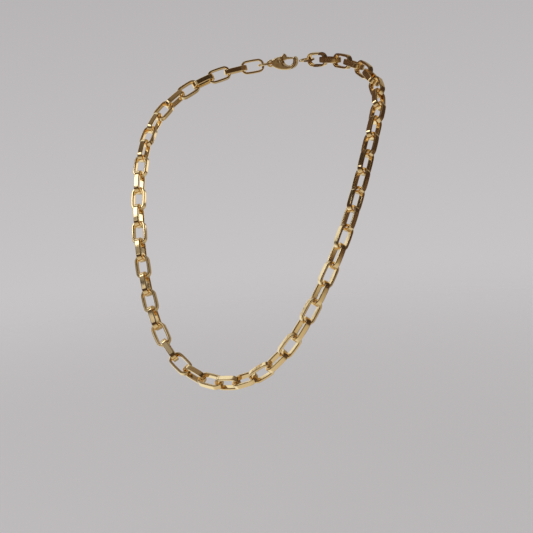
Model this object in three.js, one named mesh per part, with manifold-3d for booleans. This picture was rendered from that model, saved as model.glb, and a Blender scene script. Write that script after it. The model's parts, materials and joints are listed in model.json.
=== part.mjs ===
// Chain necklace in its worn shape: 51 box-belcher links, two jump rings and a lobster clasp.
// Millimetres, +Z up, front of the neck towards -Y, origin at the nape of the neck.
import * as THREE from 'three';
import Module from 'manifold-3d';

const wasm = await Module();
wasm.setup();
const { Manifold, Mesh: SolidMesh } = wasm;

// ---- Link: a flat strip stood on edge and bent into a long rounded rectangle ----
const LINK_COUNT = 51;
const LINK_PITCH = 8.5; // from one contact point to the next
const STRIP_THICKNESS = 1.1;
const STRIP_DEPTH = 2.5;
const LINK_SLACK = 0.7; // play between two linked end bars
const LINK_LENGTH = LINK_PITCH + 2 * STRIP_THICKNESS + LINK_SLACK;
const LINK_WIDTH = 6.7;
const CORNER_RADIUS = 2.3;
const CORNER_STEPS = 3;
const EDGE_BREAK = 0.3;

// ---- Worn curve: one half of the loop, mirrored in X ----
// From the nape round the left of the neck, over the collar bone and down the chest.
const NAPE = [0, 0, 0];
const HALF_LOOP = [
  [35, -12, -4],
  [54.5, -30, -17.5],
  [57.5, -51, -39.5],
  [50.5, -71, -77.5],
  [36.5, -86, -111.5],
  [20.5, -92.5, -130.5],
];
const LOWEST = [0, -94, -137];
const CHAIN_START = 15.5; // arc length from the nape to the first contact point
const CURVE_DIVISIONS = 2400; // steps that the curve's length is measured in

// ---- Roll of the chain about its own line: links lie at 45 degrees to the way it faces ----
const MIDDLE_FACING = THREE.MathUtils.degToRad(13); // the lowest link faces forward and up
const LINK_TILT = THREE.MathUtils.degToRad(45);
// Play in twist, in degrees for each link further from the middle one, between two link numbers.
const ROLL_STRETCHES = [
  { first: 1, last: 8, perLink: -7 }, // turns the first link flat to the neck
  { first: 21, last: 23, perLink: 11 }, // the bottom of the drape leans back, its left side doesn't
  { first: 27, last: 35, perLink: 1.0 },
  { first: 36, last: 39, perLink: 2.7 },
  { first: 44, last: 51, perLink: -5.9 }, // turns the last link flat to the neck
];

// ---- Jump rings ----
const RING_WIRE = 1.1;
const RING_OUTER = 7.6;
const RING_STEPS = 20;
const RING_WIRE_STEPS = 8;
const RING_TO_LINK_BAR = 1.3; // ring centre to the centre of the end bar that it holds
const RING_TO_CLASP_EYE = 1.6; // ring centre to the middle of the clasp eye's wall

// ---- Lobster clasp, drawn along +X from its eye to the tip of the claw ----
const CLASP_LENGTH = 14.0; // from the centre of the eye
const CLASP_THICKNESS = 3.6;
const CLASP_EDGE = 0.4;
const EYE_RADIUS = 1.9;
const EYE_HOLE_RADIUS = 1.0;
const EYE_THICKNESS = 2.2;
const EYE_EDGE = 0.3;
const SLOT_LENGTH = 5.6; // the slot that the trigger sits in, open at the claw's top
const SLOT_HEIGHT = 4.8;
const SLOT_WIDTH = 1.9;
const SLOT_CENTRE = [6.1, 2.0, 0];
const TRIGGER_THICKNESS = 1.3;
const TRIGGER_EDGE = 0.2;
const PIVOT = [5.2, 1.0];
const RIVET_RADIUS = 0.55;
const RIVET_CLEARANCE = 0.15;
const RIVET_SHY = 0.3; // the rivet ends just under the claw's two faces
const ROUND_BAR_SIDES = 16;
const CLASP_CURVE_STEPS = 5;
const EYE_CURVE_STEPS = 8;

const necklace = new THREE.Group();
necklace.name = 'chain_necklace';

function goldMaterial(colour, roughness) {
  return new THREE.MeshStandardMaterial({ color: colour, roughness, metalness: 1.0 });
}

// ---------- shared link solid ----------

function cornerPoints(length, width, radius) {
  const points = [];
  const corners = [
    [1, -1, -90],
    [1, 1, 0],
    [-1, 1, 90],
    [-1, -1, 180],
  ];
  for (const [sideX, sideY, startAngle] of corners) {
    const centreX = sideX * (length / 2 - radius);
    const centreY = sideY * (width / 2 - radius);
    for (let step = 0; step <= CORNER_STEPS; step += 1) {
      const angle = THREE.MathUtils.degToRad(startAngle + (90 * step) / CORNER_STEPS);
      const x = centreX + radius * Math.cos(angle);
      const y = centreY + radius * Math.sin(angle);
      points.push(new THREE.Vector2(x, y));
    }
  }
  return points;
}

function linkGeometry() {
  const outline = new THREE.Shape(cornerPoints(LINK_LENGTH, LINK_WIDTH, CORNER_RADIUS));
  const windowLength = LINK_LENGTH - 2 * STRIP_THICKNESS;
  const windowWidth = LINK_WIDTH - 2 * STRIP_THICKNESS;
  const windowRadius = CORNER_RADIUS - STRIP_THICKNESS;
  const window = new THREE.Path(cornerPoints(windowLength, windowWidth, windowRadius).reverse());
  outline.holes.push(window);
  const geometry = new THREE.ExtrudeGeometry(outline, {
    depth: STRIP_DEPTH - 2 * EDGE_BREAK,
    steps: 1,
    bevelEnabled: true,
    bevelSegments: 1,
    bevelSize: EDGE_BREAK,
    bevelThickness: EDGE_BREAK,
    bevelOffset: -EDGE_BREAK,
  });
  geometry.translate(0, 0, -(STRIP_DEPTH / 2 - EDGE_BREAK));
  return geometry;
}

// ---------- worn curve ----------

function wornCurve() {
  const points = [new THREE.Vector3(...NAPE)];
  for (const [x, y, z] of HALF_LOOP) {
    points.push(new THREE.Vector3(-x, y, z));
  }
  points.push(new THREE.Vector3(...LOWEST));
  for (const [x, y, z] of [...HALF_LOOP].reverse()) {
    points.push(new THREE.Vector3(x, y, z));
  }
  const curve = new THREE.CatmullRomCurve3(points, true, 'catmullrom', 0.5);
  curve.arcLengthDivisions = CURVE_DIVISIONS;
  return curve;
}

const curve = wornCurve();
const curveLength = curve.getLength();

function pointAt(arcLength) {
  return curve.getPointAt((arcLength / curveLength) % 1);
}

// Carries a facing direction from one link to the next without twisting the chain.
function carryFacing(facing, fromAlong, toAlong) {
  const bend = new THREE.Quaternion().setFromUnitVectors(fromAlong, toAlong);
  const carried = facing.clone().applyQuaternion(bend);
  return carried.addScaledVector(toAlong, -carried.dot(toAlong)).normalize();
}

// A frame with X along the piece and Z square to its flat plane.
function frameFor(centre, along, facing, tilt) {
  const normal = facing.clone().applyAxisAngle(along, tilt);
  const across = new THREE.Vector3().crossVectors(normal, along);
  const matrix = new THREE.Matrix4().makeBasis(along, across, normal);
  matrix.setPosition(centre);
  return matrix;
}

function addMesh(name, geometry, material, matrix) {
  const mesh = new THREE.Mesh(geometry, material);
  mesh.name = name;
  mesh.applyMatrix4(matrix);
  necklace.add(mesh);
  return mesh;
}

// ---------- links ----------

const linkShape = linkGeometry();
const contactPoints = [];
for (let index = 0; index <= LINK_COUNT; index += 1) {
  contactPoints.push(pointAt(CHAIN_START + index * LINK_PITCH));
}

const directions = [];
for (let index = 0; index < LINK_COUNT; index += 1) {
  const direction = new THREE.Vector3().subVectors(contactPoints[index + 1], contactPoints[index]);
  directions.push(direction.normalize());
}

function rollOf(index) {
  const number = index + 1;
  const stretch = ROLL_STRETCHES.find(({ first, last }) => number >= first && number <= last);
  return stretch ? THREE.MathUtils.degToRad(stretch.perLink) : 0;
}

const middle = (LINK_COUNT - 1) / 2;
const front = new THREE.Vector3(0, -Math.cos(MIDDLE_FACING), Math.sin(MIDDLE_FACING));
const facings = [];
facings[middle] = front.addScaledVector(directions[middle], -front.dot(directions[middle])).normalize();
for (let index = middle + 1; index < LINK_COUNT; index += 1) {
  facings[index] = carryFacing(facings[index - 1], directions[index - 1], directions[index]);
  facings[index].applyAxisAngle(directions[index], rollOf(index));
}
for (let index = middle - 1; index >= 0; index -= 1) {
  facings[index] = carryFacing(facings[index + 1], directions[index + 1], directions[index]);
  facings[index].applyAxisAngle(directions[index], rollOf(index));
}

for (let index = 0; index < LINK_COUNT; index += 1) {
  const centre = new THREE.Vector3().addVectors(contactPoints[index], contactPoints[index + 1]);
  centre.multiplyScalar(0.5);
  const tilt = index % 2 === 0 ? -LINK_TILT : LINK_TILT;
  const number = String(index + 1).padStart(2, '0');
  const place = frameFor(centre, directions[index], facings[index], tilt);
  addMesh(`link_${number}`, linkShape, goldMaterial(0xd9b25c, 0.16), place);
}

// ---------- jump rings ----------

function ringGeometry() {
  const radius = (RING_OUTER - RING_WIRE) / 2;
  return new THREE.TorusGeometry(radius, RING_WIRE / 2, RING_WIRE_STEPS, RING_STEPS);
}

const barReach = LINK_LENGTH / 2 - STRIP_THICKNESS / 2 - LINK_PITCH / 2;
const first = contactPoints[0];
const last = contactPoints[LINK_COUNT];
const claspAlong = new THREE.Vector3().subVectors(last, first).normalize();
const ringShape = ringGeometry();

function endBar(contact, neighbour) {
  const outward = new THREE.Vector3().subVectors(contact, neighbour).normalize();
  return contact.clone().addScaledVector(outward, barReach);
}

const firstBar = endBar(first, contactPoints[1]);
const lastBar = endBar(last, contactPoints[LINK_COUNT - 1]);

// Each ring lies square to the end bar that it holds, so it leans as the end link's strip does.
function ringMatrix(bar, neighbourLink, towards) {
  const link = necklace.getObjectByName(neighbourLink);
  const barDirection = new THREE.Vector3().setFromMatrixColumn(link.matrix, 1);
  const along = towards.clone().addScaledVector(barDirection, -towards.dot(barDirection)).normalize();
  const across = new THREE.Vector3().crossVectors(barDirection, along);
  const centre = bar.clone().addScaledVector(along, RING_TO_LINK_BAR);
  const matrix = new THREE.Matrix4().makeBasis(along, across, barDirection);
  matrix.setPosition(centre);
  return matrix;
}

const lastLinkName = `link_${String(LINK_COUNT).padStart(2, '0')}`;
const claspRingMatrix = ringMatrix(firstBar, 'link_01', claspAlong);
const endRingMatrix = ringMatrix(lastBar, lastLinkName, claspAlong.clone().negate());
addMesh('clasp_ring', ringShape, goldMaterial(0xd4ac56, 0.2), claspRingMatrix);
addMesh('end_ring', ringShape, goldMaterial(0xd4ac56, 0.2), endRingMatrix);

// ---------- lobster clasp ----------

function toSolid(geometry) {
  const loose = geometry.index ? geometry.toNonIndexed() : geometry;
  const positions = loose.getAttribute('position');
  const vertices = new Float32Array(positions.array);
  const triangles = new Uint32Array(positions.count);
  for (let index = 0; index < positions.count; index += 1) {
    triangles[index] = index;
  }
  const mesh = new SolidMesh({ numProp: 3, vertProperties: vertices, triVerts: triangles });
  mesh.merge();
  return new Manifold(mesh);
}

function toGeometry(solid) {
  const mesh = solid.getMesh();
  const geometry = new THREE.BufferGeometry();
  geometry.setAttribute('position', new THREE.BufferAttribute(new Float32Array(mesh.vertProperties), 3));
  geometry.setIndex(new THREE.BufferAttribute(new Uint32Array(mesh.triVerts), 1));
  geometry.computeVertexNormals();
  return geometry;
}

function plate(shape, thickness, edge, curveSegments) {
  const geometry = new THREE.ExtrudeGeometry(shape, {
    depth: thickness - 2 * edge,
    steps: 1,
    curveSegments,
    bevelEnabled: edge > 0,
    bevelSegments: 2,
    bevelSize: edge,
    bevelThickness: edge,
    bevelOffset: -edge,
  });
  geometry.translate(0, 0, -(thickness / 2 - edge));
  return geometry;
}

// A round bar through the claw, on the trigger's pivot line.
function roundBar(radius, length) {
  const bar = new THREE.CylinderGeometry(radius, radius, length, ROUND_BAR_SIDES);
  bar.rotateX(Math.PI / 2);
  bar.translate(PIVOT[0], PIVOT[1], 0);
  return bar;
}

function rivetBore() {
  return toSolid(roundBar(RIVET_RADIUS + RIVET_CLEARANCE, 2 * CLASP_THICKNESS));
}

function clawShape() {
  const claw = new THREE.Shape();
  claw.moveTo(1.0, 1.3);
  claw.quadraticCurveTo(2.4, 2.6, 4.6, 2.8);
  claw.lineTo(6.0, 2.8);
  claw.quadraticCurveTo(6.6, 2.7, 6.6, 2.1);
  claw.lineTo(6.6, 0.2);
  claw.quadraticCurveTo(6.9, -1.8, 9.4, -1.9);
  claw.quadraticCurveTo(12.1, -1.8, 12.3, 0.4);
  claw.lineTo(12.3, 1.5);
  claw.lineTo(12.9, 2.2);
  claw.quadraticCurveTo(CLASP_LENGTH, 1.5, CLASP_LENGTH, 0.2);
  claw.quadraticCurveTo(CLASP_LENGTH - 0.3, -3.6, 9.3, -3.9);
  claw.quadraticCurveTo(4.2, -4.0, 1.0, -1.3);
  claw.closePath();
  return claw;
}

function claspBody() {
  const claw = toSolid(plate(clawShape(), CLASP_THICKNESS, CLASP_EDGE, CLASP_CURVE_STEPS));
  const eyeShape = new THREE.Shape();
  eyeShape.absarc(0, 0, EYE_RADIUS, 0, 2 * Math.PI, false);
  const eye = toSolid(plate(eyeShape, EYE_THICKNESS, EYE_EDGE, EYE_CURVE_STEPS));
  const holeShape = new THREE.Shape();
  holeShape.absarc(0, 0, EYE_HOLE_RADIUS, 0, 2 * Math.PI, false);
  const eyeHole = toSolid(plate(holeShape, 2 * CLASP_THICKNESS, 0, EYE_CURVE_STEPS));
  const slot = new THREE.BoxGeometry(SLOT_LENGTH, SLOT_HEIGHT, SLOT_WIDTH);
  slot.translate(...SLOT_CENTRE);
  return toGeometry(claw.add(eye).subtract(eyeHole).subtract(toSolid(slot)).subtract(rivetBore()));
}

function triggerShape() {
  const [pivotX, pivotY] = PIVOT;
  const trigger = new THREE.Shape();
  trigger.moveTo(pivotX - 1.2, pivotY);
  trigger.quadraticCurveTo(pivotX - 0.9, pivotY - 1.2, pivotX + 1.0, pivotY - 0.6);
  trigger.lineTo(9.0, 1.1);
  trigger.lineTo(11.8, 1.0);
  trigger.lineTo(11.8, 1.9);
  trigger.lineTo(8.7, 2.4);
  trigger.quadraticCurveTo(8.4, 3.8, 7.4, 4.1);
  trigger.quadraticCurveTo(6.9, 3.2, pivotX, pivotY + 1.5);
  trigger.quadraticCurveTo(pivotX - 1.2, pivotY + 1.2, pivotX - 1.2, pivotY);
  return trigger;
}

function triggerBody() {
  const lever = toSolid(plate(triggerShape(), TRIGGER_THICKNESS, TRIGGER_EDGE, CLASP_CURVE_STEPS));
  return toGeometry(lever.subtract(rivetBore()));
}

function rivetGeometry() {
  return roundBar(RIVET_RADIUS, CLASP_THICKNESS - RIVET_SHY);
}

// The clasp hangs on its ring, square to it, and so lies flat against the back of the neck.
const claspAcross = new THREE.Vector3().setFromMatrixColumn(claspRingMatrix, 2);
claspAcross.addScaledVector(claspAlong, -claspAcross.dot(claspAlong)).normalize();
if (claspAcross.z < 0) {
  claspAcross.negate();
}
const claspNormal = new THREE.Vector3().crossVectors(claspAlong, claspAcross);
const eyeCentre = new THREE.Vector3().setFromMatrixPosition(claspRingMatrix);
const ringAlong = new THREE.Vector3().setFromMatrixColumn(claspRingMatrix, 0);
const eyeWall = (EYE_RADIUS + EYE_HOLE_RADIUS) / 2;
eyeCentre.addScaledVector(ringAlong, RING_TO_CLASP_EYE);
eyeCentre.addScaledVector(claspAlong, eyeWall);
const claspMatrix = new THREE.Matrix4().makeBasis(claspAlong, claspAcross, claspNormal);
claspMatrix.setPosition(eyeCentre);

addMesh('clasp_body', claspBody(), goldMaterial(0xd6af58, 0.18), claspMatrix);
addMesh('clasp_trigger', triggerBody(), goldMaterial(0xdcb764, 0.18), claspMatrix);
addMesh('clasp_rivet', rivetGeometry(), goldMaterial(0xc9a04a, 0.25), claspMatrix);

export default necklace;
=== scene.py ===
"""Looks of the chain necklace: polished gold strip links, jump rings and a lobster clasp."""

import json
import math

import bpy
import numpy as np
from mathutils import Matrix, Quaternion, Vector


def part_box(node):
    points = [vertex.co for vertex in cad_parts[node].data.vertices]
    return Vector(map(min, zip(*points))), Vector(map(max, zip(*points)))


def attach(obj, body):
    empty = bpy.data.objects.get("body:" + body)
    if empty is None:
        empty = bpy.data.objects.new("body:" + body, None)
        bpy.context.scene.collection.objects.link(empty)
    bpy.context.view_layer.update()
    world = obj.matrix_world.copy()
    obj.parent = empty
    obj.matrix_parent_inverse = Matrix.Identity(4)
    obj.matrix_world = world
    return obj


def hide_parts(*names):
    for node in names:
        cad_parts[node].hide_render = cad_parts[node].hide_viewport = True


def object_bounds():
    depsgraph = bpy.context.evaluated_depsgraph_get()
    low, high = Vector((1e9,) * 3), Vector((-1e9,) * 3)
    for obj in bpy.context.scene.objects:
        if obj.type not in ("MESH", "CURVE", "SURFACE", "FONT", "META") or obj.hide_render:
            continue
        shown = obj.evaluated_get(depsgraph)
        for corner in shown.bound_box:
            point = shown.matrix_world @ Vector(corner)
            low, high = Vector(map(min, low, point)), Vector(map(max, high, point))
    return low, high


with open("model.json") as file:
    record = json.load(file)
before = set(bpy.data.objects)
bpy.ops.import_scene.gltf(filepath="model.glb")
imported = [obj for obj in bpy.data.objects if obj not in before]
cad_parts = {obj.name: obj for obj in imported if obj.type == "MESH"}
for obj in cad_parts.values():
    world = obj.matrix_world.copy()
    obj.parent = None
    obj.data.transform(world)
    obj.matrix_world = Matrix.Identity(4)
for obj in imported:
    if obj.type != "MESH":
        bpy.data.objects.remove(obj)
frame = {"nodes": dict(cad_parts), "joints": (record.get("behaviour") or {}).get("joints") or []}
cad_low, cad_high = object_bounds()
MM = 0.001

# ---- Link, in millimetres: a flat strip on edge, bent into a long rounded rectangle ----
LINK_COUNT = 51
LINK_LENGTH = 11.55
LINK_WIDTH = 6.85  # over the crown of the bowed sides
STRIP_THICKNESS = 1.15
STRIP_DEPTH = 2.5
CORNER_RADIUS = 2.4  # of the strip's middle line
SIDE_BOW_RADIUS = 50.0
END_BOW_RADIUS = 10.0
OUTER_EDGE_RADIUS = 0.34
INNER_EDGE_RADIUS = 0.45
STRIP_CROWN = 0.006  # rise of the wide faces at their middle
OUTLINE_PASSES = 20  # passes that settle where the arcs of the outline meet
SIDE_STEPS = 16
END_STEPS = 8
CORNER_STEPS = 12

# ---- Jump rings, in millimetres: round wire, cut once ----
RING_WIRE = 1.1
RING_OUTER = 7.6
RING_CUT = 0.12  # width of the cut
RING_END_ROUND = 0.1  # rounding of the wire's ends at the cut
RING_END_SHOULDER = 0.3  # part of that rounding between its two steps
RING_STEPS = 110
WIRE_SIDES = 28

# ---- Lobster clasp, in millimetres ----
CLASP_VOXEL = 0.13
TRIGGER_VOXEL = 0.075
CAST_SMOOTHING = 14  # passes that round the cast edges
RIVET_RADIUS = 0.55
RIVET_LENGTH = 3.3
RIVET_CHAMFER = 0.12
RIVET_CHAMFER_START = 0.3  # how far along the chamfer its middle row lies
RIVET_GROOVE = (0.5, 0.56, 0.62)  # inner edge, bottom and outer edge, as parts of the radius
RIVET_GROOVE_DEPTH = 0.04
RIVET_SIDES = 40

EDGE_STEPS = 5
FACE_PLACES = (0.04, 0.25, 0.5, 0.75, 0.96)  # rows of points across a flat of the strip

# ---- Gold ----
# Noise scales are per metre of the piece, and those of the polishing lines per millimetre.
DRIFT_SCALE = 140.0
LINE_STRETCH = (0.35, 9.0, 0.0)  # along the strip, across it
LINE_SCALE = 2.2
SMEAR_SCALE = 620.0
SMEAR_RANGE = (0.3, 0.75)
EDGE_POLISH = 0.7  # roughness of the rubbed edges beside that of the faces
WAVE_SCALE = 230.0
WAVE_STRENGTH = 0.02
WAVE_HEIGHT = 0.00035
LINE_STRENGTH = 0.04
LINE_HEIGHT = 0.00003

# ---- Camera, from its fit to the worn loop ----
CAMERA_AZIMUTH = 26.5
CAMERA_ELEVATION = 8.0
CAMERA_ROLL = 4.4
CAMERA_DISTANCE = 0.4956
CAMERA_TARGET = Vector((0.0018, -0.0479, -0.0937))
CAMERA_LENS = 72.9
SENSOR_WIDTH = 36.0

# ---- Stage ----
LAMP_COLOUR = (0.98, 0.99, 1.03)
FLOOR_DROP = 0.075  # from the lowest link to the floor
FLOOR_RADIUS = 0.9
FLOOR_FADE_START = 0.12
FLOOR_SIDES = 96
FLOOR_COLOUR = (0.80, 0.785, 0.79, 1.0)
FLOOR_ROUGHNESS = 0.8
# Colour of the dark cards: painted shade, seen only in the links' reflections.
SHADE_FLAG_COLOUR = (0.17, 0.105, 0.065, 1.0)
# What the camera sees, by the height of the direction, from -1 straight down to 1 straight up.
BACKDROP_STOPS = [
    (-1.0, (0.67, 0.65, 0.66)),
    (-0.35, (0.63, 0.61, 0.62)),
    (-0.1, (0.56, 0.54, 0.55)),
    (0.15, (0.47, 0.45, 0.46)),
    (1.0, (0.70, 0.69, 0.69)),
]
# What the polished metal sees, in the same way.
ROOM_STOPS = [
    (-1.0, (0.62, 0.60, 0.58)),
    (-0.5, (0.54, 0.49, 0.40)),
    (-0.32, (0.41, 0.37, 0.30)),
    (-0.2, (0.22, 0.155, 0.09)),
    (-0.1, (0.060, 0.035, 0.022)),
    (0.7, (0.035, 0.024, 0.015)),
    (1.0, (0.22, 0.175, 0.135)),
]
# The wall that the metal sees behind the necklace, by the bearing in degrees from straight
# behind, left negative. It is whole as far as WALL_FULL from its middle and gone at WALL_END.
WALL_MIDDLE = -9.0
WALL_FULL = 57.0
WALL_END = 66.0
WALL_LEFT = (0.86, 0.92, 1.0, 1.0)
WALL_RIGHT = (0.30, 0.26, 0.20, 1.0)
WALL_SHADE = (-45.0, 15.0)  # where it starts and ends its fall from the left colour to the right
# Lamps and dark cards, placed by trial to give each link its tone in the photograph. Place and aim
# are metres right, up and back from the camera's target.
LAMPS = [  # name, place, aim, size, radiance, spin in degrees
    ("key_light", (-0.190, 0.167, 0.075), (-0.057, 0.036, -0.008), (0.06, 0.072), 2.3, 37.0),
    ("key_tail", (-0.191, 0.117, 0.099), (-0.058, 0.005, 0.0), (0.05, 0.026), 0.25, 0.0),
    ("side_fill", (-0.385, 0.180, 0.315), (-0.052, -0.019, 0.014), (0.14, 0.10), 0.55, 0.0),
    ("front_fill", (-0.34, 0.36, 0.49), (0.0, 0.0, 0.0), (0.34, 0.21), 0.28, 0.0),
    ("edge_light", (0.049, 0.063, -0.116), (-0.056, 0.044, -0.010), (0.05, 0.03), 0.8, 0.0),
]
# Dark cards that give painted shade: dark reflections on the links that face them.
FLAGS = [  # name, place, aim, size
    ("head_flag", (0.0236, 0.103, 0.0036), (0.0546, 0.0692, 0.0226), 0.07),
    ("right_flag", (0.27, -0.10, 0.015), (0.02, -0.02, 0.03), 0.26),
]


# ---------- small helpers ----------


def camera_axes():
    """Right, up and back directions of the camera before its roll."""
    a = math.radians(CAMERA_AZIMUTH)
    e = math.radians(CAMERA_ELEVATION)
    back = Vector((math.sin(a) * math.cos(e), -math.cos(a) * math.cos(e), math.sin(e)))
    right = Vector((math.cos(a), math.sin(a), 0.0))
    return right, back.cross(right), back


def new_object(name, mesh):
    piece = bpy.data.objects.new(name, mesh)
    bpy.context.scene.collection.objects.link(piece)
    return piece


def node_points(node):
    """Vertices of a CAD node, in metres, as an array."""
    return np.array([v.co for v in frame["nodes"][node].data.vertices], float)


def principal_axes(points):
    """Centre of a symmetric solid's box and its axes, from the longest to the shortest extent."""
    middle = points.mean(0)
    _, _, axes = np.linalg.svd(points - middle, full_matrices=False)
    along = (points - middle) @ axes.T
    middle = middle + axes.T @ ((along.max(0) + along.min(0)) / 2)
    return Vector(middle), [Vector(axis) for axis in axes]


def placed(centre, x_axis, y_axis, z_axis):
    """Matrix from a piece's own millimetres to the frame's metres."""
    turn = Matrix((x_axis, y_axis, z_axis)).transposed().to_4x4()
    return Matrix.Translation(centre) @ turn @ Matrix.Scale(MM, 4)


# ---------- swept strips ----------


def arc_points(centre, radius, start, stop, steps):
    """Points and outward normals on an arc, the last point left out."""
    points = []
    for step in range(steps):
        angle = start + (stop - start) * step / steps
        normal = (math.cos(angle), math.sin(angle))
        points.append((centre[0] + radius * normal[0], centre[1] + radius * normal[1], *normal))
    return points


def bowed_outline(half_length, half_width, corner, side_radius, end_radius):
    """Closed outline of four large arcs that run smoothly into four corner arcs."""
    corner_x = half_length - corner
    corner_y = half_width - corner
    for _ in range(OUTLINE_PASSES):
        side_angle = math.asin(corner_x / (side_radius - corner))
        end_angle = math.asin(corner_y / (end_radius - corner))
        corner_y = half_width - side_radius + (side_radius - corner) * math.cos(side_angle)
        corner_x = half_length - end_radius + (end_radius - corner) * math.cos(end_angle)
    quarter = math.pi / 2
    points = []
    for turn in range(4):
        long_side = turn % 2 == 1
        middle = turn * quarter
        radius = side_radius if long_side else end_radius
        half_angle = side_angle if long_side else end_angle
        reach = (half_width if long_side else half_length) - radius
        centre = (reach * math.cos(middle), reach * math.sin(middle))
        steps = SIDE_STEPS if long_side else END_STEPS
        points += arc_points(centre, radius, middle - half_angle, middle + half_angle, steps)
        sign_x = 1 if turn in (0, 3) else -1
        sign_y = 1 if turn in (0, 1) else -1
        next_half = end_angle if long_side else side_angle
        points += arc_points(
            (sign_x * corner_x, sign_y * corner_y),
            corner,
            middle + half_angle,
            middle + quarter - next_half,
            CORNER_STEPS,
        )
    return points


def strip_section(thickness, depth, outer_edge, inner_edge, crown):
    """Section of the strip: (outward, along its depth, how near to an edge) for each point."""
    half_t = thickness / 2
    half_d = depth / 2
    section = []

    def corner(side_t, side_d, edge, start):
        for step in range(EDGE_STEPS + 1):
            angle = math.radians(start + 90 * step / EDGE_STEPS)
            out = side_t * (half_t - edge) + edge * math.cos(angle)
            section.append((out, side_d * (half_d - edge) + edge * math.sin(angle), 1.0))

    def face(start, stop, rise_out, rise_deep):
        for place in FACE_PLACES:
            rise = crown * 4 * place * (1 - place)
            out = start[0] + (stop[0] - start[0]) * place + rise_out * rise
            deep = start[1] + (stop[1] - start[1]) * place + rise_deep * rise
            section.append((out, deep, 0.0))

    corner(1, 1, outer_edge, 0)
    face((half_t - outer_edge, half_d), (inner_edge - half_t, half_d), 0, 0)
    corner(-1, 1, inner_edge, 90)
    face((-half_t, half_d - inner_edge), (-half_t, inner_edge - half_d), -1, 0)
    corner(-1, -1, inner_edge, 180)
    face((inner_edge - half_t, -half_d), (half_t - outer_edge, -half_d), 0, 0)
    corner(1, -1, outer_edge, 270)
    face((half_t, outer_edge - half_d), (half_t, half_d - outer_edge), 1, 0)
    return section


def strip_mesh(name, verts, faces, strip):
    """Smooth mesh that keeps its strip coordinates (along, across, how near to an edge)."""
    mesh = bpy.data.meshes.new(name)
    mesh.from_pydata(verts, [], faces)
    attribute = mesh.attributes.new("strip", "FLOAT_VECTOR", "POINT")
    attribute.data.foreach_set("vector", np.array(strip, np.float32).ravel())
    mesh.polygons.foreach_set("use_smooth", [True] * len(faces))
    mesh.update()
    return mesh


def sweep_closed(name, outline, section):
    """Mesh of a section carried round a closed flat outline."""
    rows = len(outline)
    columns = len(section)
    verts = []
    strip = []
    travelled = 0.0
    for index, (x, y, normal_x, normal_y) in enumerate(outline):
        if index:
            travelled += math.dist((x, y), outline[index - 1][:2])
        across = 0.0
        for place, (out, deep, edge) in enumerate(section):
            if place:
                across += math.dist((out, deep), section[place - 1][:2])
            verts.append((x + normal_x * out, y + normal_y * out, deep))
            strip.append((travelled, across, edge))
    faces = []
    for row in range(rows):
        for column in range(columns):
            here = row * columns + column
            right = row * columns + (column + 1) % columns
            ahead = ((row + 1) % rows) * columns
            faces.append((here, ahead + column, ahead + (column + 1) % columns, right))
    return strip_mesh(name, verts, faces, strip)


# ---------- materials ----------


def node_setup(name):
    material = bpy.data.materials.new(name)
    material.use_nodes = True
    tree = material.node_tree
    return material, tree, tree.nodes["Principled BSDF"]


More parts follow.
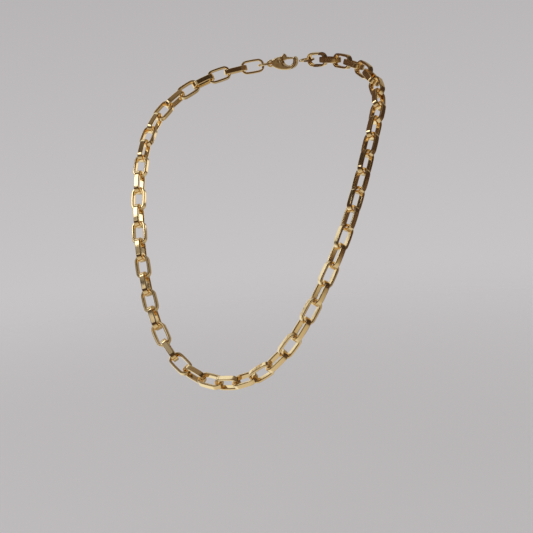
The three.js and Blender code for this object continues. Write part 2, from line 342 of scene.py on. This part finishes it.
def gold_material(name, colour, deep_colour, roughness, satin):
    """Polished gold plate: slight colour drift, polishing lines along the strip, soft waves."""
    material, tree, shader = node_setup(name)
    nodes = tree.nodes
    links = tree.links
    shader.inputs["Metallic"].default_value = 1.0
    shader.inputs["Specular IOR Level"].default_value = 0.5

    place = nodes.new("ShaderNodeTexCoord")
    strip = nodes.new("ShaderNodeAttribute")
    strip.attribute_name = "strip"
    parts = nodes.new("ShaderNodeSeparateXYZ")
    links.new(strip.outputs["Vector"], parts.inputs[0])

    drift = nodes.new("ShaderNodeTexNoise")
    drift.inputs["Scale"].default_value = DRIFT_SCALE
    drift.inputs["Detail"].default_value = 3.0
    links.new(place.outputs["Object"], drift.inputs["Vector"])
    tint = nodes.new("ShaderNodeMix")
    tint.data_type = "RGBA"
    tint.inputs["A"].default_value = (*deep_colour, 1.0)
    tint.inputs["B"].default_value = (*colour, 1.0)
    links.new(drift.outputs["Fac"], tint.inputs["Factor"])
    links.new(tint.outputs["Result"], shader.inputs["Base Color"])

    # Polishing lines run along the strip: the noise is stretched along it.
    stretch = nodes.new("ShaderNodeVectorMath")
    stretch.operation = "MULTIPLY"
    stretch.inputs[1].default_value = LINE_STRETCH
    links.new(strip.outputs["Vector"], stretch.inputs[0])
    lines = nodes.new("ShaderNodeTexNoise")
    lines.inputs["Scale"].default_value = LINE_SCALE
    lines.inputs["Detail"].default_value = 4.0
    links.new(stretch.outputs["Vector"], lines.inputs["Vector"])

    smear = nodes.new("ShaderNodeTexNoise")
    smear.inputs["Scale"].default_value = SMEAR_SCALE
    smear.inputs["Detail"].default_value = 5.0
    links.new(place.outputs["Object"], smear.inputs["Vector"])
    rough = nodes.new("ShaderNodeMapRange")
    rough.inputs["From Min"].default_value = SMEAR_RANGE[0]
    rough.inputs["From Max"].default_value = SMEAR_RANGE[1]
    rough.inputs["To Min"].default_value = roughness
    rough.inputs["To Max"].default_value = satin
    links.new(smear.outputs["Fac"], rough.inputs["Value"])
    polish = nodes.new("ShaderNodeMix")
    polish.inputs["B"].default_value = roughness * EDGE_POLISH
    links.new(parts.outputs["Z"], polish.inputs["Factor"])
    links.new(rough.outputs["Result"], polish.inputs["A"])
    links.new(polish.outputs["Result"], shader.inputs["Roughness"])

    wave = nodes.new("ShaderNodeTexNoise")
    wave.inputs["Scale"].default_value = WAVE_SCALE
    wave.inputs["Detail"].default_value = 1.0
    links.new(place.outputs["Object"], wave.inputs["Vector"])
    wave_bump = nodes.new("ShaderNodeBump")
    wave_bump.inputs["Strength"].default_value = WAVE_STRENGTH
    wave_bump.inputs["Distance"].default_value = WAVE_HEIGHT
    links.new(wave.outputs["Fac"], wave_bump.inputs["Height"])
    line_bump = nodes.new("ShaderNodeBump")
    line_bump.inputs["Strength"].default_value = LINE_STRENGTH
    line_bump.inputs["Distance"].default_value = LINE_HEIGHT
    links.new(lines.outputs["Fac"], line_bump.inputs["Height"])
    links.new(wave_bump.outputs["Normal"], line_bump.inputs["Normal"])
    links.new(line_bump.outputs["Normal"], shader.inputs["Normal"])
    return material


link_gold = gold_material("link_gold", (1.0, 0.785, 0.44), (0.97, 0.72, 0.36), 0.08, 0.17)
ring_gold = gold_material("ring_gold", (0.98, 0.78, 0.46), (0.90, 0.68, 0.36), 0.12, 0.22)
clasp_gold = gold_material("clasp_gold", (0.99, 0.80, 0.48), (0.91, 0.70, 0.38), 0.12, 0.24)


# ---------- links ----------


def make_links():
    """One swept strip for each link, where its CAD solid lies."""
    outline = bowed_outline(
        (LINK_LENGTH - STRIP_THICKNESS) / 2,
        (LINK_WIDTH - STRIP_THICKNESS) / 2,
        CORNER_RADIUS,
        SIDE_BOW_RADIUS,
        END_BOW_RADIUS,
    )
    section = strip_section(
        STRIP_THICKNESS, STRIP_DEPTH, OUTER_EDGE_RADIUS, INNER_EDGE_RADIUS, STRIP_CROWN
    )
    for number in range(1, LINK_COUNT + 1):
        node = f"link_{number:02d}"
        centre, (along, across, _) = principal_axes(node_points(node))
        mesh = sweep_closed(f"{node}_strip", outline, section)
        mesh.transform(placed(centre, along, across, along.cross(across)))
        piece = new_object(f"{node}_strip", mesh)
        piece.data.materials.append(link_gold)
        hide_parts(node)
        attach(piece, node)


make_links()

# ---------- jump rings ----------


def middle_of(node):
    low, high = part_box(node)
    return (Vector(low) + Vector(high)) / 2


def ring_mesh(name):
    """Round wire bent to a ring, with a narrow cut whose two ends are flat and slightly rounded."""
    wire = RING_WIRE / 2
    radius = RING_OUTER / 2 - wire
    shoulder = RING_END_ROUND * RING_END_SHOULDER
    half_cut = RING_CUT / 2 / radius
    stations = [  # angle round the ring, radius of the wire there
        (half_cut, 0.0),
        (half_cut, wire - RING_END_ROUND),
        (half_cut + shoulder / radius, wire - shoulder),
    ]
    start = half_cut + RING_END_ROUND / radius
    for step in range(RING_STEPS + 1):
        stations.append((start + (2 * math.pi - 2 * start) * step / RING_STEPS, wire))
    stations += [(2 * math.pi - angle, size) for angle, size in reversed(stations[1:3])]
    verts = [(radius * math.cos(half_cut), radius * math.sin(half_cut), 0.0)]
    strip = [(0.0, 0.0, 1.0)]
    for angle, size in stations[1:]:
        for side in range(WIRE_SIDES):
            turn = 2 * math.pi * side / WIRE_SIDES
            reach = radius + size * math.cos(turn)
            verts.append((reach * math.cos(angle), reach * math.sin(angle), size * math.sin(turn)))
            strip.append((radius * angle, wire * turn, 0.0))
    last_angle = 2 * math.pi - half_cut
    verts.append((radius * math.cos(last_angle), radius * math.sin(last_angle), 0.0))
    strip.append((radius * last_angle, 0.0, 1.0))
    loops = len(stations) - 1
    faces = []
    for side in range(WIRE_SIDES):
        after = (side + 1) % WIRE_SIDES
        faces.append((0, 1 + after, 1 + side))
        for loop in range(loops - 1):
            here = 1 + loop * WIRE_SIDES
            ahead = here + WIRE_SIDES
            faces.append((here + side, here + after, ahead + after, ahead + side))
        end = 1 + (loops - 1) * WIRE_SIDES
        faces.append((len(verts) - 1, end + side, end + after))
    return strip_mesh(name, verts, faces, strip)


def make_ring(node, held_link):
    """The ring lies where its CAD solid lies, with its cut away from the link that it holds."""
    centre, (_, _, axis) = principal_axes(node_points(node))
    towards = middle_of(held_link) - centre
    towards = (towards - axis * towards.dot(axis)).normalized()
    cut_side = axis.cross(towards)
    mesh = ring_mesh(f"{node}_wire")
    mesh.transform(placed(centre, cut_side, axis.cross(cut_side), axis))
    piece = new_object(f"{node}_wire", mesh)
    piece.data.materials.append(ring_gold)
    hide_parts(node)
    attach(piece, node)


make_ring("clasp_ring", "link_01")
make_ring("end_ring", f"link_{LINK_COUNT:02d}")


# ---------- lobster clasp ----------


def cast_piece(node, name, body, voxel):
    """A cast piece: its CAD solid with every edge rounded as a tumbled casting has it."""
    mesh = frame["nodes"][node].data.copy()
    mesh.name = name
    mesh.materials.clear()
    mesh.transform(Matrix.Scale(1 / MM, 4))
    piece = new_object(name, mesh)
    remesh = piece.modifiers.new("remesh", "REMESH")
    remesh.mode = "VOXEL"
    remesh.voxel_size = voxel
    smooth = piece.modifiers.new("smooth", "SMOOTH")
    smooth.factor = 0.5
    smooth.iterations = CAST_SMOOTHING
    graph = bpy.context.evaluated_depsgraph_get()
    rounded = bpy.data.meshes.new_from_object(piece.evaluated_get(graph))
    piece.modifiers.clear()
    piece.data = rounded
    rounded.transform(Matrix.Scale(MM, 4))
    rounded.polygons.foreach_set("use_smooth", [True] * len(rounded.polygons))
    rounded.materials.append(clasp_gold)
    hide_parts(node)
    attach(piece, body)


def make_rivet():
    """Turned pin with chamfered ends and a shallow ring cut into each head."""
    hinge = next(joint for joint in frame["joints"] if joint["child"] == "clasp_trigger")
    axis = Vector(hinge["axis"]).normalized()
    centre = middle_of("clasp_rivet")
    half = RIVET_LENGTH / 2
    chamfer_step = RIVET_CHAMFER * RIVET_CHAMFER_START
    profile = [  # radius, height
        (0.0, half),
        (RIVET_RADIUS * RIVET_GROOVE[0], half),
        (RIVET_RADIUS * RIVET_GROOVE[1], half - RIVET_GROOVE_DEPTH),
        (RIVET_RADIUS * RIVET_GROOVE[2], half),
        (RIVET_RADIUS - RIVET_CHAMFER, half),
        (RIVET_RADIUS - chamfer_step, half - chamfer_step),
        (RIVET_RADIUS, half - RIVET_CHAMFER),
    ]
    profile += [(radius, -height) for radius, height in reversed(profile)]
    verts = [(0.0, 0.0, half)]
    for radius, height in profile[1:-1]:
        for side in range(RIVET_SIDES):
            turn = 2 * math.pi * side / RIVET_SIDES
            verts.append((radius * math.cos(turn), radius * math.sin(turn), height))
    verts.append((0.0, 0.0, -half))
    rows = len(profile) - 2
    faces = []
    for side in range(RIVET_SIDES):
        after = (side + 1) % RIVET_SIDES
        faces.append((0, 1 + side, 1 + after))
        for row in range(rows - 1):
            here = 1 + row * RIVET_SIDES
            below = here + RIVET_SIDES
            faces.append((here + side, below + side, below + after, here + after))
        end = 1 + (rows - 1) * RIVET_SIDES
        faces.append((len(verts) - 1, end + after, end + side))
    mesh = bpy.data.meshes.new("clasp_rivet_pin")
    mesh.from_pydata(verts, [], faces)
    mesh.polygons.foreach_set("use_smooth", [True] * len(faces))
    side_axis = axis.orthogonal().normalized()
    mesh.transform(placed(centre, side_axis, axis.cross(side_axis), axis))
    piece = new_object("clasp_rivet_pin", mesh)
    piece.data.materials.append(clasp_gold)
    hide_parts("clasp_rivet")
    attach(piece, "clasp")


cast_piece("clasp_body", "clasp_body_casting", "clasp", CLASP_VOXEL)
cast_piece("clasp_trigger", "clasp_trigger_lever", "clasp_trigger", TRIGGER_VOXEL)
make_rivet()


# ---------- stage, light and camera ----------


def make_floor():
    """A pale disc under the necklace that fades out into the backdrop."""
    height = cad_low.z - FLOOR_DROP
    centre = (cad_low + cad_high) / 2
    verts = [(centre.x, centre.y, height)]
    for side in range(FLOOR_SIDES):
        turn = 2 * math.pi * side / FLOOR_SIDES
        x = centre.x + FLOOR_RADIUS * math.cos(turn)
        y = centre.y + FLOOR_RADIUS * math.sin(turn)
        verts.append((x, y, height))
    faces = [(0, 1 + side, 1 + (side + 1) % FLOOR_SIDES) for side in range(FLOOR_SIDES)]
    mesh = bpy.data.meshes.new("floor")
    mesh.from_pydata(verts, [], faces)
    floor = new_object("floor", mesh)
    material, tree, shader = node_setup("floor_paint")
    nodes = tree.nodes
    links = tree.links
    shader.inputs["Base Color"].default_value = FLOOR_COLOUR
    shader.inputs["Roughness"].default_value = FLOOR_ROUGHNESS
    place = nodes.new("ShaderNodeTexCoord")
    offset = nodes.new("ShaderNodeVectorMath")
    offset.operation = "DISTANCE"
    offset.inputs[1].default_value = (centre.x, centre.y, height)
    links.new(place.outputs["Object"], offset.inputs[0])
    fade = nodes.new("ShaderNodeMapRange")
    fade.interpolation_type = "SMOOTHSTEP"
    fade.inputs["From Min"].default_value = FLOOR_FADE_START
    fade.inputs["From Max"].default_value = FLOOR_RADIUS
    fade.inputs["To Min"].default_value = 1.0
    fade.inputs["To Max"].default_value = 0.0
    links.new(offset.outputs["Value"], fade.inputs["Value"])
    links.new(fade.outputs["Result"], shader.inputs["Alpha"])
    floor.data.materials.append(material)
    floor.visible_glossy = False


def height_ramp(nodes, links, height, stops):
    """Colours by the height of a direction, from -1 straight down to 1 straight up."""
    scaled = nodes.new("ShaderNodeMapRange")
    scaled.inputs["From Min"].default_value = -1.0
    links.new(height, scaled.inputs["Value"])
    ramp = nodes.new("ShaderNodeValToRGB")
    links.new(scaled.outputs["Result"], ramp.inputs["Fac"])
    elements = ramp.color_ramp.elements
    elements.remove(elements[1])
    for index, (place, colour) in enumerate(stops):
        element = elements[0] if index == 0 else elements.new((place + 1) / 2)
        element.position = (place + 1) / 2
        element.color = (*colour, 1.0)
    return ramp.outputs["Color"]


def map_range(nodes, links, value, low_end, high_end):
    """0 below the low end, 1 above the high end, and smooth between."""
    node = nodes.new("ShaderNodeMapRange")
    node.interpolation_type = "SMOOTHSTEP"
    node.inputs["From Min"].default_value = low_end
    node.inputs["From Max"].default_value = high_end
    links.new(value, node.inputs["Value"])
    return node.outputs["Result"]


def mix_colour(nodes, links, factor, first, second):
    """Mix of two colours, each a plain colour or another node's output."""
    mix = nodes.new("ShaderNodeMix")
    mix.data_type = "RGBA"
    links.new(factor, mix.inputs["Factor"])
    for socket, colour in (("A", first), ("B", second)):
        if isinstance(colour, tuple):
            mix.inputs[socket].default_value = colour
        else:
            links.new(colour, mix.inputs[socket])
    return mix.outputs["Result"]


def bearing_from_behind(nodes, links, direction):
    """Bearing of a direction about the camera's up axis, from straight behind the target."""
    right, _, back = camera_axes()
    parts = []
    for axis in (right, -back):
        dot = nodes.new("ShaderNodeVectorMath")
        dot.operation = "DOT_PRODUCT"
        dot.inputs[1].default_value = axis
        links.new(direction, dot.inputs[0])
        parts.append(dot.outputs["Value"])
    angle = nodes.new("ShaderNodeMath")
    angle.operation = "ARCTAN2"
    links.new(parts[0], angle.inputs[0])
    links.new(parts[1], angle.inputs[1])
    return angle.outputs[0]


def make_world():
    """Pale even backdrop; polished metal sees a pale floor and back wall under a dark ceiling."""
    world = bpy.data.worlds.new("studio")
    bpy.context.scene.world = world
    world.use_nodes = True
    tree = world.node_tree
    nodes = tree.nodes
    links = tree.links
    background = nodes["Background"]
    place = nodes.new("ShaderNodeTexCoord")
    parts = nodes.new("ShaderNodeSeparateXYZ")
    links.new(place.outputs["Generated"], parts.inputs[0])
    backdrop = height_ramp(nodes, links, parts.outputs["Z"], BACKDROP_STOPS)
    room = height_ramp(nodes, links, parts.outputs["Z"], ROOM_STOPS)

    bearing = bearing_from_behind(nodes, links, place.outputs["Generated"])
    shade = map_range(nodes, links, bearing, *[math.radians(b) for b in WALL_SHADE])
    wall_colour = mix_colour(nodes, links, shade, WALL_LEFT, WALL_RIGHT)
    off_middle = nodes.new("ShaderNodeMath")
    off_middle.operation = "SUBTRACT"
    off_middle.inputs[1].default_value = math.radians(WALL_MIDDLE)
    links.new(bearing, off_middle.inputs[0])
    spread = nodes.new("ShaderNodeMath")
    spread.operation = "ABSOLUTE"
    links.new(off_middle.outputs[0], spread.inputs[0])
    wall_edge = [math.radians(b) for b in (WALL_FULL, WALL_END)]
    beyond = map_range(nodes, links, spread.outputs[0], *wall_edge)
    room_and_wall = mix_colour(nodes, links, beyond, wall_colour, room)

    light_path = nodes.new("ShaderNodeLightPath")
    seen = nodes.new("ShaderNodeMix")
    seen.data_type = "RGBA"
    links.new(light_path.outputs["Is Glossy Ray"], seen.inputs["Factor"])
    links.new(backdrop, seen.inputs["A"])
    links.new(room_and_wall, seen.inputs["B"])
    links.new(seen.outputs["Result"], background.inputs["Color"])


def stage_point(offset):
    """Point at an offset (right, up, back) from the camera's target."""
    right, up, back = camera_axes()
    return CAMERA_TARGET + right * offset[0] + up * offset[1] + back * offset[2]


def make_softbox(name, place, aim, size, radiance, spin):
    """An area light that faces its aim, both given from the target, unseen by the camera."""
    data = bpy.data.lights.new(name, "AREA")
    data.shape = "RECTANGLE"
    data.size = size[0]
    data.size_y = size[1]
    data.energy = radiance * math.pi * size[0] * size[1]
    data.color = LAMP_COLOUR
    lamp = bpy.data.objects.new(name, data)
    bpy.context.scene.collection.objects.link(lamp)
    lamp.location = stage_point(place)
    lamp.rotation_mode = "QUATERNION"
    facing = (lamp.location - stage_point(aim)).to_track_quat("Z", "Y")
    lamp.rotation_quaternion = facing @ Quaternion((0.0, 0.0, 1.0), math.radians(spin))
    lamp.visible_camera = False


def make_flag(name, place, aim, size):
    """A dark card that only the polished metal sees: painted shade in its reflections, as a
    photographer hangs beside jewellery.
    """
    half = size / 2
    corners = [(-half, -half, 0), (half, -half, 0), (half, half, 0), (-half, half, 0)]
    mesh = bpy.data.meshes.new(name)
    mesh.from_pydata(corners, [], [(0, 1, 2, 3)])
    flag = new_object(name, mesh)
    material, _, shader = node_setup("shade_flag_paint")
    shader.inputs["Base Color"].default_value = SHADE_FLAG_COLOUR
    shader.inputs["Roughness"].default_value = 1.0
    mesh.materials.append(material)
    flag.location = stage_point(place)
    flag.rotation_mode = "QUATERNION"
    flag.rotation_quaternion = (stage_point(aim) - flag.location).to_track_quat("Z", "Y")
    flag.visible_camera = False
    flag.visible_diffuse = False
    flag.visible_shadow = False


def make_camera():
    right, up, back = camera_axes()
    roll = math.radians(CAMERA_ROLL)
    x_axis = right * math.cos(roll) - up * math.sin(roll)
    y_axis = right * math.sin(roll) + up * math.cos(roll)
    data = bpy.data.cameras.new("camera")
    data.lens = CAMERA_LENS
    data.sensor_width = SENSOR_WIDTH
    data.clip_start = 0.01
    data.clip_end = 50.0
    camera = bpy.data.objects.new("camera", data)
    bpy.context.scene.collection.objects.link(camera)
    turn = Matrix((x_axis, y_axis, back)).transposed().to_4x4()
    camera.matrix_world = Matrix.Translation(CAMERA_TARGET + back * CAMERA_DISTANCE) @ turn
    bpy.context.scene.camera = camera


make_floor()
make_world()
for lamp_values in LAMPS:
    make_softbox(*lamp_values)
for flag_values in FLAGS:
    make_flag(*flag_values)
make_camera()
bpy.context.scene.view_settings.view_transform = "Standard"
